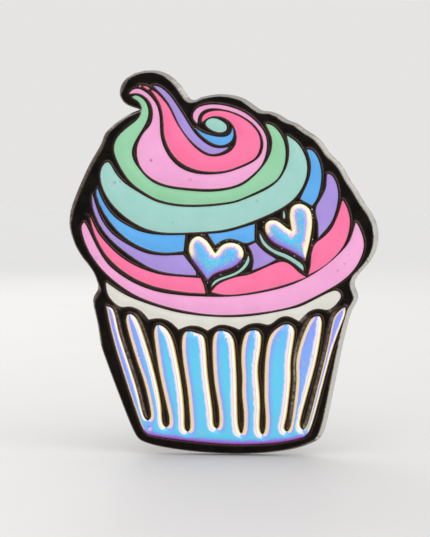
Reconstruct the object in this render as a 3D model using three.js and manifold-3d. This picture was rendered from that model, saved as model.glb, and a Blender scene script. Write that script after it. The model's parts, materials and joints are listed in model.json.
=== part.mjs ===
// Cupcake lapel pin: a die-struck, dyed plate with coloured inlays laid into its recesses, two posts
// set in its back, and a butterfly clutch on each post.
// Millimetres. +Z is up as worn, the artwork faces -Y and the posts point along +Y.
// The origin is on the plate's back face, at the middle of the artwork.
import * as THREE from "three";
import { mergeVertices } from "three/addons/utils/BufferGeometryUtils.js";
import Module from "manifold-3d";

// ---- driving dimensions -------------------------------------------------------------------------
const SCALE = 1.0; // one drawing unit of the outlines below is 1 mm

const FLOOR = 1.0; // plate's back to the floor of its recesses
const LINE_TOP = 1.8; // plate's back to the top of the raised lines
const RIM_SHOULDER = 1.25; // the outer edge is upright up to here, then bevelled
const RIM_BEVEL = 0.42; // width of that bevel
const FIT = 0.03; // clearance round each inlay and under each post foot
const ENAMEL_EDGE = 1.72; // height of an enamel fill where it meets its line
const ENAMEL_RISE = 0.14; // how far it crowns above that
const ENAMEL_INSET = 0.22; // width of the rounded border of an enamel fill
const FOIL_RISE = 0.48; // crown of the iridescent inlays
const FOIL_INSET = 0.42;

const POSTS = { upper: 10.5, lower: -11.0 }; // height of each post on the centre line
const POST_RADIUS = 0.6;
const POST_LENGTH = 9.0;
const FOOT_RADIUS = 1.6;
const FOOT_DEPTH = 0.5;
const SOCKET_DEPTH = FOOT_DEPTH + FIT;

const GARMENT_GAP = 2.2; // plate's back to the front of a clutch
const BASE_RADIUS = 5.75;
const BASE_HOLE = 0.75;
const BASE_THICKNESS = 0.5;
const GRIP_INNER = 0.64;
const GRIP_OUTER = 1.35;
const DOME_RADIUS = 2.8;
const DOME_WALL = 0.35;
const DOME_TOP = 2.7;
const WING_THICKNESS = 0.4;
const ROUND = 20; // facets round a turned piece
const CURVE_TOLERANCE = 0.05; // how far a facet may stand off its curve

// ---- colours ------------------------------------------------------------------------------------
const finish = (color, roughness, metalness) =>
  new THREE.MeshStandardMaterial({ color, roughness, metalness });
const BLACK = finish(0x14120f, 0.25, 0.9);
const MINT = finish(0x96d2a5, 0.35, 0);
const PALE_PINK = finish(0xf5aad7, 0.35, 0);
const ROSE = finish(0xff78a5, 0.35, 0);
const LILAC = finish(0xaa91dc, 0.35, 0);
const SKY = finish(0x5faff0, 0.35, 0);
const AQUA = finish(0xa0d4c8, 0.35, 0);
const CREAM = finish(0xe1ded4, 0.35, 0);
const FOIL = finish(0x78c8ff, 0.15, 1);
const NICKEL = finish(0xc8c6c0, 0.25, 1);
const BRASS = finish(0xc9a45a, 0.3, 1);

// ---- outlines -----------------------------------------------------------------------------------
// Each outline is a smooth closed curve through its points, seen from the front: x to the right,
// y up. A third number marks a point where the curve turns a sharp corner.
const PLATE = [
  [-10.35, 20.12, 1], [-11.2, 20.42], [-12.3, 20.85], [-13.02, 21.9], [-12.9, 23.1],
  [-12.2, 24.15], [-10.9, 24.9], [-9.2, 25.2], [-7.5, 25.02], [-6.0, 24.2], [-4.9, 23.0],
  [-4.1, 21.8], [-3.5, 21.3, 1], [-2.2, 21.75], [-0.4, 22.05], [1.6, 21.95], [3.2, 21.5],
  [4.5, 20.62], [5.6, 19.92], [6.7, 19.8], [7.9, 19.35], [8.9, 18.7], [10.2, 18.2],
  [11.2, 17.45], [12.6, 16.55], [13.6, 15.5], [14.4, 14.3], [15.3, 13.5], [16.1, 12.55],
  [16.8, 11.2], [17.9, 9.6], [18.7, 8.2], [19.5, 7.05], [20.15, 6.0], [20.55, 4.7],
  [20.62, 3.2], [20.25, 1.6], [19.4, 0.15], [18.4, -0.95], [17.8, -1.8], [17.58, -2.6],
  [17.9, -3.45], [18.1, -4.15], [17.85, -4.95], [17.35, -5.8], [17.0, -7.0], [16.4, -9.2],
  [15.75, -12.0], [14.95, -16.0], [14.1, -20.0], [13.72, -21.8], [13.1, -22.8],
  [12.0, -23.45], [9.8, -24.2], [6.0, -24.78], [2.0, -24.95], [-2.0, -24.82], [-6.0, -24.42],
  [-9.2, -23.8], [-10.6, -23.2], [-11.35, -22.1], [-12.2, -20.0], [-13.3, -17.0],
  [-14.7, -13.4], [-15.6, -10.9], [-16.05, -8.0], [-16.5, -6.0], [-16.65, -4.7],
  [-16.4, -4.0], [-15.95, -3.3], [-16.1, -2.4], [-16.6, -1.15], [-17.7, 0.3], [-18.8, 2.0],
  [-19.5, 3.8], [-19.75, 5.4], [-19.55, 7.0], [-18.9, 8.9], [-18.0, 11.0], [-17.0, 13.1],
  [-16.1, 14.7], [-15.5, 15.7], [-15.05, 16.9], [-14.3, 17.75], [-13.1, 18.74], [-11.95, 19.46],
  [-11.0, 19.9],
];

const MINT_SWIRL = [
  [-11.35, 21.72], [-10.75, 21.35], [-10.3, 20.95], [-10.08, 20.2], [-10.3, 19.3],
  [-11.1, 18.4], [-12.4, 17.4], [-13.4, 16.3], [-13.75, 15.0], [-13.45, 13.8], [-12.7, 12.3],
  [-11.6, 10.75], [-10.0, 9.5], [-8.0, 8.42], [-5.6, 7.87], [-3.0, 7.75], [0.0, 7.95],
  [2.2, 8.32], [4.2, 9.15], [6.2, 10.12], [7.5, 11.05], [8.35, 12.6], [8.6, 14.4],
  [8.35, 16.0], [7.6, 17.3], [6.8, 18.02], [6.05, 18.2, 1], [6.45, 17.3], [6.85, 16.3],
  [6.85, 15.0], [6.4, 13.75], [5.5, 12.45], [4.3, 11.2], [3.0, 10.27], [1.2, 9.68],
  [-1.2, 9.4], [-4.0, 9.55], [-6.6, 9.9], [-8.6, 10.6], [-10.0, 11.8], [-11.1, 13.3],
  [-11.45, 14.5], [-11.1, 15.8], [-10.2, 17.4], [-9.4, 18.8], [-9.25, 20.0], [-9.7, 21.2],
  [-10.5, 21.82], [-11.15, 21.92],
];
const PINK_SWIRL = [
  [-11.75, 22.12], [-11.45, 22.55], [-10.7, 22.8], [-9.7, 22.42], [-8.8, 21.6],
  [-8.1, 20.5], [-7.8, 19.2], [-7.75, 17.6], [-7.55, 16.1], [-7.0, 14.7], [-6.1, 13.4],
  [-4.9, 12.42], [-3.2, 11.8], [-1.0, 11.65], [1.0, 11.9], [2.8, 12.5], [4.4, 13.25],
  [5.35, 14.1], [5.75, 15.3], [5.6, 16.5], [4.9, 17.75], [3.6, 18.87], [1.9, 19.72],
  [0.0, 20.2], [-1.4, 20.2], [-2.3, 19.8], [-2.75, 19.1], [-2.85, 18.3, 1], [-3.3, 18.8],
  [-3.42, 19.4], [-2.9, 20.2], [-1.8, 20.62], [-0.2, 20.68], [1.5, 20.35], [3.4, 19.55],
  [5.0, 18.2], [6.0, 16.7], [6.15, 15.0], [5.6, 13.1], [4.5, 11.8], [3.1, 10.72],
  [1.6, 10.12], [-1.0, 9.8], [-4.0, 9.95], [-7.0, 10.35], [-9.0, 11.3], [-10.15, 12.5],
  [-10.7, 14.0], [-10.65, 15.4], [-9.9, 17.0], [-8.9, 18.2], [-8.62, 19.6], [-8.9, 20.9],
  [-9.6, 21.75], [-10.5, 22.22], [-11.35, 22.22],
];
const TIP_FLECK = [[-10.5, 23.08], [-10.35, 23.24], [-10.1, 23.16], [-10.25, 23.02]];
const TIP_DASH = [[-9.9, 23.12], [-9.6, 23.16], [-9.2, 22.98], [-9.02, 22.72], [-9.4, 22.72],
  [-9.75, 22.95]];
const ROSE_SWIRL = [
  [-8.9, 22.62], [-8.4, 22.42], [-7.5, 21.55], [-6.6, 20.4], [-6.0, 19.1], [-5.1, 17.6],
  [-4.0, 16.05], [-3.0, 15.0], [-1.8, 14.2], [-0.8, 13.98], [0.5, 14.17], [1.6, 14.75],
  [2.2, 15.7], [2.25, 16.9], [1.8, 18.1], [0.8, 18.95], [-0.5, 19.25], [-1.4, 19.05],
  [-2.0, 18.6], [-2.22, 18.5], [-2.2, 19.1], [-1.6, 19.65], [-0.3, 19.92], [1.4, 19.65],
  [3.0, 18.95], [4.4, 17.85], [5.2, 16.6], [5.3, 15.2], [4.7, 13.85], [3.2, 13.05],
  [1.4, 12.3], [-0.6, 12.03], [-2.6, 12.2], [-4.2, 12.75], [-5.6, 13.75], [-6.6, 15.2],
  [-7.15, 16.8], [-7.28, 18.8], [-7.6, 20.6], [-8.2, 21.75],
];
const LILAC_CURL = [
  [-8.6, 23.2, 1], [-7.8, 23.02], [-6.75, 22.22], [-5.8, 21.0], [-4.9, 19.65], [-4.0, 18.15],
  [-3.1, 16.9], [-2.0, 15.85], [-1.0, 15.25], [0.0, 15.05], [1.25, 15.18, 1], [0.6, 14.7],
  [-0.3, 14.38], [-1.2, 14.35], [-2.3, 14.9], [-3.6, 16.0], [-4.8, 17.5], [-5.65, 19.05],
  [-6.3, 20.5], [-7.2, 21.75], [-8.0, 22.65],
];
const SKY_CRESCENT = [
  [-3.15, 17.72, 1], [-2.2, 17.08], [-1.0, 16.68], [0.2, 16.5], [1.15, 16.65], [1.6, 17.1],
  [1.75, 17.7, 1], [1.88, 16.9], [1.55, 16.0], [0.8, 15.55], [-0.1, 15.48], [-1.2, 15.92],
  [-2.3, 16.75],
];
const AQUA_OVAL = [[-1.82, 18.25], [-1.4, 18.82], [-0.7, 18.95], [0.25, 18.62], [0.98, 17.95],
  [0.9, 17.35], [0.2, 17.1], [-0.7, 17.3], [-1.45, 17.75]];
const AQUA_BAND = [
  [-14.6, 13.32], [-15.2, 12.85], [-15.55, 11.7], [-15.35, 10.3], [-14.6, 8.65],
  [-13.4, 7.15], [-11.8, 5.8], [-9.8, 4.7], [-7.6, 4.15], [-5.0, 4.08], [-2.2, 4.22],
  [0.2, 4.43], [2.4, 4.95], [4.3, 5.6], [6.0, 6.4], [8.0, 7.28], [9.6, 8.45], [10.7, 9.9],
  [11.3, 11.5], [11.35, 13.1], [10.9, 14.5], [10.0, 15.8], [8.78, 16.68, 1], [9.05, 15.5],
  [9.08, 14.0], [8.7, 12.5], [7.7, 10.85], [6.0, 9.62], [4.0, 8.72], [2.0, 7.97],
  [-0.6, 7.57], [-3.4, 7.42], [-6.0, 7.58], [-8.4, 8.18], [-10.8, 9.5], [-12.6, 10.7],
  [-13.7, 12.0], [-14.25, 13.0],
];
const SKY_LEFT = [
  [-15.97, 9.85], [-15.65, 9.0], [-15.0, 7.7], [-13.75, 6.12], [-12.1, 5.02], [-10.0, 4.12],
  [-7.6, 3.78], [-4.45, 3.78, 1], [-4.68, 1.68, 1], [-6.2, 1.5], [-8.0, 1.56], [-9.8, 2.05],
  [-11.8, 3.1], [-13.5, 4.57], [-14.8, 6.25], [-15.75, 8.1], [-16.1, 9.35],
];
const SKY_MIDDLE = [
  [-1.42, 3.92, 1], [0.4, 4.08], [2.2, 4.5], [4.6, 5.22, 1], [4.58, 3.1, 1], [3.4, 2.75],
  [2.6, 3.1], [1.4, 3.35], [0.4, 3.12], [-0.5, 2.5, 1], [-1.0, 3.2],
];
const SKY_RIGHT = [
  [11.4, 14.9], [12.0, 14.78], [12.75, 13.75], [13.2, 12.1], [13.15, 10.4], [12.6, 8.4],
  [12.05, 7.65, 1], [11.3, 8.05], [10.55, 8.5, 1], [11.15, 9.8], [11.75, 11.3],
  [11.92, 12.9], [11.6, 14.3],
];
const LILAC_LEFT = [
  [-16.65, 9.1], [-16.3, 8.0], [-15.8, 6.5], [-14.95, 4.95], [-13.7, 3.6], [-12.0, 2.55],
  [-10.0, 1.52], [-8.0, 1.12], [-4.72, 1.18, 1], [-3.9, 0.02], [-3.0, -1.15], [-3.05, -1.45, 1],
  [-5.2, -1.33], [-7.6, -0.98], [-9.4, -0.3], [-11.2, 0.8], [-12.9, 2.05], [-14.6, 3.65],
  [-15.9, 5.6], [-16.6, 7.7],
];
const LILAC_MIDDLE = [
  [3.85, 2.4, 1], [4.72, 2.82, 1], [5.5, 1.95], [6.5, 1.22], [7.4, 0.65, 1], [5.9, -0.15],
  [4.3, -0.78, 1], [4.52, 0.3], [4.35, 1.4],
];
const LILAC_RIGHT = [
  [14.05, 11.75], [14.6, 11.5], [15.2, 10.3], [15.4, 8.9], [15.15, 7.2], [14.5, 5.45],
  [12.9, 3.5, 1], [12.86, 5.3], [12.55, 7.25], [13.2, 8.5], [13.85, 9.9], [13.95, 11.2],
];
const ROSE_LEFT = [
  [-16.97, 6.15], [-16.6, 5.5], [-15.95, 4.1], [-14.65, 2.5], [-13.1, 1.05], [-11.6, 0.05],
  [-9.8, -0.78], [-7.4, -1.45], [-5.0, -1.68], [-2.45, -1.85, 1], [-2.05, -2.75],
  [-1.82, -3.82, 1], [-4.0, -3.72], [-6.4, -3.38], [-8.8, -2.85], [-11.2, -1.83],
  [-13.1, -0.55], [-14.95, 1.35], [-16.25, 3.7],
];
const ROSE_MIDDLE = [
  [-1.02, -3.62, 1], [-0.2, -2.7], [1.0, -2.1], [2.5, -1.62], [3.6, -1.45], [5.2, -0.82],
  [6.8, -0.1], [8.3, 0.35], [9.4, -0.15], [10.4, -1.1], [11.3, -1.65, 1], [9.4, -2.35],
  [7.2, -3.02], [4.8, -3.55], [2.0, -3.95], [0.2, -3.93],
];
const ROSE_RIGHT = [
  [16.0, 8.32], [16.5, 7.4], [16.9, 6.1], [16.85, 4.6], [16.3, 2.8], [15.2, 1.25],
  [13.6, -0.2], [11.62, -1.35, 1], [11.9, -0.2], [12.0, 1.2], [12.45, 2.65], [13.4, 3.4],
  [14.5, 4.5], [15.2, 5.85], [15.8, 7.6],
];
const PINK_BASE = [
  [-17.75, 5.4], [-17.4, 4.85], [-16.8, 3.55], [-15.7, 1.5], [-14.6, -0.1], [-12.9, -1.52],
  [-10.8, -2.72], [-8.4, -3.58], [-5.6, -4.05], [-2.4, -4.25], [1.0, -4.27], [4.0, -3.98],
  [7.0, -3.4], [10.0, -2.45], [13.0, -0.8], [15.2, 1.0], [16.8, 2.8], [17.4, 4.3],
  [17.72, 5.4], [18.3, 4.4], [18.75, 2.7], [18.4, 1.0], [17.3, -0.85], [15.6, -2.36],
  [13.2, -3.74], [10.6, -5.06], [8.4, -5.75], [5.4, -6.28], [2.0, -6.6], [-1.2, -6.57],
  [-4.6, -6.1], [-8.0, -5.25], [-11.0, -4.07], [-13.6, -2.35], [-15.6, -0.45], [-17.2, 1.9],
  [-18.0, 4.2], [-18.02, 5.1],
];
const HEART_LEFT = [
  [-0.52, 1.42, 1], [-1.05, 2.15], [-1.75, 3.15], [-2.8, 3.65], [-3.65, 3.15], [-4.02, 2.0],
  [-3.75, 0.95], [-2.9, -0.3], [-1.52, -2.15, 1], [-0.7, -1.4], [0.6, -0.85], [1.9, -0.4],
  [2.95, 0.55], [3.25, 1.45], [2.7, 2.45], [1.5, 2.8], [0.4, 2.5],
];
const HEART_LEFT_SHADE = [
  [3.82, 1.15], [3.95, 0.5], [3.4, -0.5], [2.3, -1.3], [0.8, -1.85], [-0.3, -2.33],
  [-1.0, -2.95], [-0.85, -2.42], [0.0, -1.88], [1.4, -1.4], [2.7, -0.7], [3.5, 0.3],
];
const HEART_RIGHT = [
  [9.42, 4.32, 1], [8.6, 4.85], [7.7, 5.55], [6.8, 5.75], [6.0, 5.3], [6.0, 4.25],
  [6.8, 3.0], [8.3, 2.12], [9.8, 1.4], [11.2, 0.5, 1], [11.55, 1.9], [11.9, 3.7],
  [12.1, 5.6], [11.75, 7.15], [10.5, 7.88], [9.4, 7.45], [9.12, 6.3],
];
const HEART_RIGHT_SHADE = [
  [5.28, 4.05], [5.35, 3.3], [5.95, 2.35], [7.2, 1.45], [8.8, 0.75], [10.0, 0.0],
  [10.95, -0.82], [10.95, -0.25], [10.1, 0.5], [8.8, 1.25], [7.2, 1.85], [6.0, 2.8],
];
const NOTCH_SLIVER = [[8.4, 7.0], [8.56, 6.6], [8.6, 6.05], [8.42, 5.92], [8.28, 6.3]];
const CREAM_EDGE = [
  [-14.87, -2.45, 1], [-12.6, -3.95], [-10.5, -4.87], [-7.9, -5.68], [-5.6, -6.33],
  [-2.4, -6.78], [1.4, -6.95], [4.8, -6.7], [8.0, -6.1], [10.6, -5.48], [13.2, -4.2],
  [15.25, -3.38], [15.85, -4.0], [15.35, -4.98], [14.4, -5.8], [13.9, -5.9, 1],
  [13.0, -5.73], [11.8, -6.05], [10.4, -7.38, 1], [9.4, -6.85], [8.3, -6.77],
  [6.5, -7.88, 1], [5.2, -7.65], [3.9, -7.8], [2.62, -8.52, 1], [1.4, -8.05],
  [0.0, -7.92], [-1.52, -8.68, 1], [-2.6, -8.15], [-4.0, -8.08], [-5.32, -8.58, 1],
  [-6.5, -7.52], [-7.8, -7.1], [-9.25, -7.28, 1], [-10.2, -6.22], [-11.6, -5.6],
  [-12.95, -5.65, 1], [-14.2, -4.68], [-14.75, -3.6],
];
// The wrapper runs in one piece below its eight dark pleats, round the end of each and up between
// them: from the bottom left corner up the first strip, then strip by strip to the right.
const WRAPPER = [
  [-10.0, -21.9], [-10.75, -19.7], [-11.6, -17.3], [-12.45, -14.6], [-13.45, -11.6],
  [-14.05, -9.4], [-14.65, -6.8], [-14.85, -5.55, 1], [-14.08, -5.9, 1],
  [-13.4, -8.4], [-12.6, -11.0], [-11.7, -13.7], [-10.85, -16.5], [-10.05, -19.4],
  [-9.83, -20.3], [-9.42, -20.65], [-9.02, -20.25],
  [-9.35, -17.8], [-10.1, -14.8], [-11.1, -11.9], [-11.75, -9.2], [-12.25, -7.1],
  [-11.9, -6.5], [-11.0, -7.05], [-10.2, -8.7],
  [-9.45, -11.0], [-8.6, -13.9], [-8.02, -16.4], [-7.57, -18.9], [-7.4, -21.0],
  [-7.0, -21.57], [-6.58, -21.05],
  [-6.97, -18.5], [-7.65, -15.4], [-8.02, -13.4], [-8.3, -11.0], [-8.55, -8.7],
  [-8.15, -7.95], [-7.1, -8.4], [-6.25, -9.6],
  [-5.72, -11.5], [-5.18, -14.2], [-4.8, -16.7], [-4.56, -19.4], [-4.47, -21.65],
  [-4.16, -22.15], [-3.86, -21.75],
  [-3.95, -19.5], [-4.15, -16.9], [-4.57, -14.3], [-4.82, -12.2], [-4.86, -9.7],
  [-4.4, -8.85], [-3.2, -8.95], [-2.05, -9.5],
  [-1.72, -11.2], [-1.5, -14.2], [-1.12, -17.0], [-0.82, -19.6], [-0.67, -21.25],
  [-0.36, -21.68], [-0.05, -21.25],
  [-0.02, -19.6], [-0.34, -17.3], [-0.7, -15.0], [-0.8, -12.2], [-0.82, -9.8],
  [-0.35, -8.82], [0.8, -8.78], [1.78, -9.6],
  [2.14, -12.0], [2.32, -15.2], [2.4, -18.0], [2.54, -21.3], [2.9, -22.3, 1],
  [3.17, -21.4], [3.2, -19.5], [2.98, -17.2], [3.0, -14.8], [2.86, -12.4],
  [3.05, -10.2], [3.65, -8.87], [4.9, -8.62], [5.45, -9.2],
  [5.42, -11.0], [5.12, -13.2], [5.14, -15.2], [5.36, -17.5], [5.4, -20.0],
  [5.36, -21.7], [5.67, -22.4, 1], [5.98, -21.7],
  [6.05, -19.6], [5.92, -18.0], [5.98, -16.4], [5.92, -14.2], [6.1, -11.6],
  [6.62, -9.4], [7.7, -8.25], [8.9, -7.78], [9.78, -8.4],
  [9.68, -10.2], [9.38, -12.6], [9.35, -15.2], [9.08, -18.0], [8.74, -20.5],
  [8.53, -21.5], [8.85, -21.93], [9.24, -21.4],
  [9.53, -19.4], [9.88, -17.2], [10.06, -14.8], [10.02, -12.8], [10.6, -10.1],
  [11.5, -7.9], [12.1, -6.97], [13.0, -6.68], [13.38, -7.3],
  [13.2, -9.4], [12.75, -12.2], [12.0, -15.2], [11.3, -17.9], [10.75, -20.0],
  [10.6, -21.1], [10.97, -21.7, 1], [11.42, -21.1],
  [11.95, -19.3], [12.7, -16.3], [13.4, -13.4], [14.0, -11.1], [14.5, -8.8],
  [14.95, -6.85], [15.7, -5.95], [16.4, -5.5], [16.45, -6.2],
  [15.7, -8.3], [14.95, -10.5], [14.2, -13.3], [13.4, -16.2], [12.5, -19.4],
  [11.95, -21.5], [11.4, -22.45], [10.0, -22.95], [7.4, -23.45], [4.2, -23.67],
  [1.0, -23.7], [-2.2, -23.48], [-5.4, -23.1], [-8.2, -22.78], [-9.6, -22.35],
];

// name, outline, material, whether it is an iridescent inlay
const INLAYS = [
  ["mint_swirl", MINT_SWIRL, MINT],
  ["pink_swirl", PINK_SWIRL, PALE_PINK],
  ["tip_fleck", TIP_FLECK, ROSE],
  ["tip_dash", TIP_DASH, ROSE],
  ["rose_swirl", ROSE_SWIRL, ROSE],
  ["lilac_curl", LILAC_CURL, LILAC],
  ["sky_crescent", SKY_CRESCENT, SKY],
  ["aqua_oval", AQUA_OVAL, AQUA],
  ["aqua_band", AQUA_BAND, AQUA],
  ["sky_left", SKY_LEFT, SKY],
  ["sky_middle", SKY_MIDDLE, SKY],
  ["sky_right", SKY_RIGHT, SKY],
  ["lilac_left", LILAC_LEFT, LILAC],
  ["lilac_middle", LILAC_MIDDLE, LILAC],
  ["lilac_right", LILAC_RIGHT, LILAC],
  ["rose_left", ROSE_LEFT, ROSE],
  ["rose_middle", ROSE_MIDDLE, ROSE],
  ["rose_right", ROSE_RIGHT, ROSE],
  ["pink_base", PINK_BASE, PALE_PINK],
  ["heart_left", HEART_LEFT, FOIL, true],
  ["heart_left_shade", HEART_LEFT_SHADE, AQUA],
  ["heart_right", HEART_RIGHT, FOIL, true],
  ["heart_right_shade", HEART_RIGHT_SHADE, AQUA],
  ["notch_sliver", NOTCH_SLIVER, AQUA],
  ["cream_edge", CREAM_EDGE, CREAM],
  ["wrapper", WRAPPER, FOIL, true],
];

// ---- curves and polygons ------------------------------------------------------------------------
// Points of a run that lie within the tolerance of a straight line are dropped.
function thin(run, tolerance) {
  if (run.length < 3) return run;
  const a = run[0];
  const b = run[run.length - 1];
  const chord = b.clone().sub(a);
  const length = chord.length();
  let worst = 0;
  let at = 0;
  for (let i = 1; i < run.length - 1; i++) {
    const d = run[i].clone().sub(a);
    const off = length > 1e-9 ? Math.abs(chord.cross(d)) / length : d.length();
    if (off > worst) {
      worst = off;
      at = i;
    }
  }
  if (worst <= tolerance) return [a, b];
  return [...thin(run.slice(0, at + 1), tolerance).slice(0, -1), ...thin(run.slice(at), tolerance)];
}

// A closed counter-clockwise polygon along the smooth curve through an outline's points.
function smoothLoop(points, tolerance) {
  const n = points.length;
  const at = (i) => new THREE.Vector3(points[i % n][0], points[i % n][1], 0).multiplyScalar(SCALE);
  const corners = points.flatMap((p, i) => (p[2] ? [i] : []));
  const runs = [];
  if (!corners.length) {
    const curve = new THREE.CatmullRomCurve3(points.map((p, i) => at(i)), true, "centripetal");
    const all = curve.getPoints(n * 10);
    const half = Math.floor(all.length / 2);
    runs.push(all.slice(0, half + 1), all.slice(half));
  }
  corners.forEach((from, k) => {
    const to = k + 1 < corners.length ? corners[k + 1] : corners[0] + n;
    const stops = Array.from({ length: to - from + 1 }, (_, i) => at(from + i));
    const curve = new THREE.CatmullRomCurve3(stops, false, "centripetal");
    runs.push(stops.length > 2 ? curve.getPoints((stops.length - 1) * 10) : stops);
  });
  const flat = runs.map((run) => run.map((p) => new THREE.Vector2(p.x, p.y)));
  const loop = flat.flatMap((run) => thin(run, tolerance).slice(0, -1));
  return THREE.ShapeUtils.area(loop) < 0 ? loop.reverse() : loop;
}

// The unit vector that points into a counter-clockwise polygon at each corner, and the sine of half
// the angle there.
function inward(loop) {
  return loop.map((p, i) => {
    const before = p.clone().sub(loop[(i + loop.length - 1) % loop.length]).normalize();
    const after = loop[(i + 1) % loop.length].clone().sub(p).normalize();
    const n = new THREE.Vector2(-before.y - after.y, before.x + after.x);
    if (n.length() < 1e-6) n.set(-before.x, -before.y);
    n.normalize();
    return { n, sine: Math.max(Math.abs(n.x * -after.y + n.y * after.x), 0.3) };
  });
}

// The same polygon grown by a small clearance.
const grown = (loop, by) =>
  inward(loop).map(({ n, sine }, i) => loop[i].clone().addScaledVector(n, -by / sine));

// How far a ray from a point runs before it meets the polygon.
function reach(loop, i, n) {
  const p = loop[i];
  let far = Infinity;
  for (let k = 0; k < loop.length; k++) {
    const next = (k + 1) % loop.length;
    if (k === i || next === i) continue;
    const e = loop[next].clone().sub(loop[k]);
    const d = loop[k].clone().sub(p);
    const cross = n.cross(e);
    if (Math.abs(cross) < 1e-9) continue;
    const t = d.cross(e) / cross;
    const u = d.cross(n) / cross;
    if (t > 1e-6 && u >= 0 && u <= 1) far = Math.min(far, t);
  }
  return far;
}

// Whether the segments a-b and c-d cross.
function crossing(a, b, c, d) {
  const side = (p, q, r) => Math.sign((q.x - p.x) * (r.y - p.y) - (q.y - p.y) * (r.x - p.x));
  return side(a, b, c) !== side(a, b, d) && side(c, d, a) !== side(c, d, b);
}

// The polygon drawn in by an inset, less where the shape is narrow. Where the drawn-in border would
// double back or cross itself, the points there are held back.
function drawnIn(loop, inset) {
  const n = loop.length;
  const normals = inward(loop);
  const depth = normals.map((at, i) => Math.min(inset / at.sine, 0.36 * reach(loop, i, at.n)));
  const ring = () => loop.map((p, i) => p.clone().addScaledVector(normals[i].n, depth[i]));
  for (let pass = 0; pass < 60; pass++) {
    const now = ring();
    const held = new Set();
    for (let i = 0; i < n; i++) {
      const k = (i + 1) % n;
      const outer = loop[k].clone().sub(loop[i]);
      if (now[k].clone().sub(now[i]).dot(outer) < 0.08 * outer.lengthSq()) held.add(i).add(k);
      for (let j = i + 2; j < n; j++) {
        const m = (j + 1) % n;
        if (m !== i && crossing(now[i], now[k], now[j], now[m])) held.add(i).add(k).add(j).add(m);
      }
    }
    if (!held.size) break;
    for (const i of held) depth[i] *= 0.8;
  }
  return ring();
}

// ---- solids -------------------------------------------------------------------------------------
function geometryOf(vertices, triangles) {
  const geometry = new THREE.BufferGeometry();
  geometry.setAttribute("position", new THREE.Float32BufferAttribute(vertices.flat(), 3));
  geometry.setIndex(triangles.flat());
  return geometry;
}

// A solid with upright sides up to its edge, then a sloping border up to a flat crown.
function crowned(loop, bottom, edge, rise, inset) {
  const n = loop.length;
  const top = drawnIn(loop, inset);
  const vertices = [
    ...loop.map((p) => [p.x, p.y, bottom]),
    ...loop.map((p) => [p.x, p.y, edge]),
    ...top.map((p) => [p.x, p.y, edge + rise]),
  ];
  const triangles = [];
  for (const [a, b, c] of THREE.ShapeUtils.triangulateShape(loop, [])) triangles.push([c, b, a]);
  for (const [a, b, c] of THREE.ShapeUtils.triangulateShape(top, []))
    triangles.push([a + 2 * n, b + 2 * n, c + 2 * n]);
  for (const level of [0, n])
    for (let i = 0; i < n; i++) {
      const k = (i + 1) % n;
      triangles.push([level + i, level + k, level + n + k]);
      triangles.push([level + i, level + n + k, level + n + i]);
    }
  return geometryOf(vertices, triangles);
}

const upright = (loop, bottom, top) =>
  new THREE.ExtrudeGeometry(new THREE.Shape(loop), {
    depth: top - bottom,
    bevelEnabled: false,
  }).translate(0, 0, bottom);

const wasm = await Module();
wasm.setup();

function solid(geometry) {
  const bare = new THREE.BufferGeometry();
  bare.setAttribute("position", geometry.getAttribute("position"));
  if (geometry.index) bare.setIndex(geometry.index);
  const merged = mergeVertices(bare, 1e-4);
  return new wasm.Manifold(
    new wasm.Mesh({
      numProp: 3,
      vertProperties: merged.getAttribute("position").array,
      triVerts: new Uint32Array(merged.index.array),
    }),
  );
}

function geometry(manifold) {
  const mesh = manifold.getMesh();
  const g = new THREE.BufferGeometry();
  g.setAttribute("position", new THREE.BufferAttribute(mesh.vertProperties, 3));
  g.setIndex(new THREE.BufferAttribute(mesh.triVerts, 1));
  return g;
}

// A ring or disc turned about the Y axis from a closed profile of (radius, height) points.
function turned(profile, facets = ROUND) {
  const points = profile.map(([r, y]) => new THREE.Vector2(r, y));
  if (profile[0][0] > 0) points.push(points[0].clone());
  return new THREE.LatheGeometry(points, facets);
}

// ---- the pin ------------------------------------------------------------------------------------
const pin = new THREE.Group();
const artwork = new THREE.Group(); // drawn in x and y, with z towards the viewer
artwork.rotation.x = Math.PI / 2;
pin.add(artwork);

function add(parent, name, shape, material) {
  shape.computeVertexNormals();
  const mesh = new THREE.Mesh(shape, material);
  mesh.name = name;
  parent.add(mesh);
  return mesh;
}

// Plate: bevelled blank, less a recess for each inlay and a round socket for each post's foot.
const rim = smoothLoop(PLATE, CURVE_TOLERANCE);
const bevelHeight = LINE_TOP - RIM_SHOULDER;
let plate = solid(crowned(rim, 0, RIM_SHOULDER, bevelHeight, RIM_BEVEL));
for (const [name, outline, material, foil] of INLAYS) {
  const loop = smoothLoop(outline, CURVE_TOLERANCE);
  plate = plate.subtract(solid(upright(grown(loop, FIT), FLOOR, LINE_TOP + 1)));
  const rise = foil ? FOIL_RISE : ENAMEL_RISE;
  const inset = foil ? FOIL_INSET : ENAMEL_INSET;
  add(artwork, name, crowned(loop, FLOOR + FIT, ENAMEL_EDGE, rise, inset), material);
}
for (const height of Object.values(POSTS)) {
  const socket = new THREE.CylinderGeometry(
    FOOT_RADIUS + FIT,
    FOOT_RADIUS + FIT,
    SOCKET_DEPTH + 1,
    ROUND,
  );
  socket.rotateX(Math.PI / 2).translate(0, height, SOCKET_DEPTH - (SOCKET_DEPTH + 1) / 2);
  plate = plate.subtract(solid(socket));
}
add(artwork, "plate", geometry(plate), BLACK);

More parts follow.
